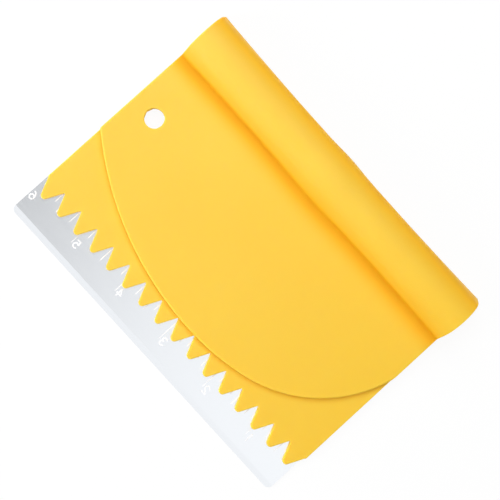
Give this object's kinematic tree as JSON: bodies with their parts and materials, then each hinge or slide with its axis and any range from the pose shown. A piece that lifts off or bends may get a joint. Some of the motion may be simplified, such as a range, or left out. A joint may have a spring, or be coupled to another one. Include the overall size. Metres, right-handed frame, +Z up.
{
  "type": "bench scraper",
  "caption": "Nested bench scraper: steel blade with a moulded grip, a toothed comb scraper and a curved bowl scraper, whose arched handles stack into one roll.",
  "frame": {"origin": "middle of the footprint, on the surface that the scraper lies on", "axes": "+X along the cutting edge to the right as seen from the front face, +Y from the cutting edge to the handle, +Z up out of the front face"},
  "size_m": [0.15, 0.1128, 0.0152],
  "materials": {
    "yellow_plastic": "satin moulded polypropylene",
    "steel": "fine brushed stainless"
  },
  "bodies": {
    "root": {"bowl_scraper": "yellow_plastic", "comb_scraper": "yellow_plastic", "blade": "steel", "blade_handle": "yellow_plastic"}
  },
  "joints": []
}
